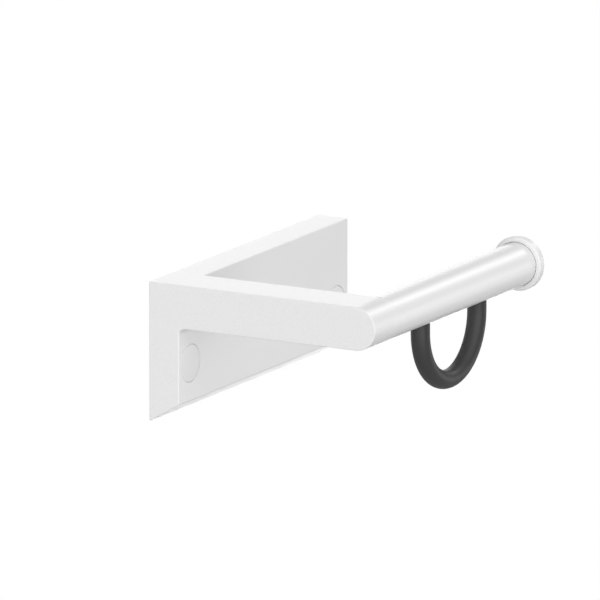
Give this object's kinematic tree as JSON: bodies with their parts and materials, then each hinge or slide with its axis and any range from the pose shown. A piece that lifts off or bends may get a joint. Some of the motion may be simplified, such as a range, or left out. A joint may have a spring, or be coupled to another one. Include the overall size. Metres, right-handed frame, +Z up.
{
  "type": "wall-mounted paper roll holder",
  "caption": "Wall-mounted holder for a small paper roll: L-shaped casting, round bar with an end flange, and a soft rubber loop that brakes the roll.",
  "frame": {"origin": "midway between the two wall-screw holes, on the plane of the wall", "axes": "+X along the bar towards its free end, +Y into the wall, +Z up as mounted"},
  "size_m": [0.125, 0.0948, 0.0535],
  "materials": {
    "powder_coated_casting": "fine-textured white powder coat on an aluminium casting",
    "powder_coated_bar": "smooth satin white powder coat on aluminium tube",
    "bare_aluminium": "turned, bare",
    "screw_steel": "zinc plated",
    "white_plastic": "moulded polyamide, satin",
    "brake_rubber": "moulded, satin dark grey"
  },
  "bodies": {
    "bracket": {"wall_bracket": "powder_coated_casting", "roll_bar": "powder_coated_bar", "bar_plug": "bare_aluminium", "bar_fixing_screw": "screw_steel", "bar_locating_pin": "screw_steel", "end_flange": "white_plastic", "screw_cap_left": "white_plastic", "screw_cap_right": "white_plastic"},
    "brake": {"brake_loop": "brake_rubber"}
  },
  "joints": [
    {"name": "brake_flex", "type": "hinge", "parent": "bracket", "child": "brake", "pos_m": [0.00665, -0.0848, 0.0144], "axis": [1, 0, 0], "range_deg": [-25, 25], "stiffness_Nm_per_rad": 0.05, "deforming": ["brake_loop"]}
  ]
}
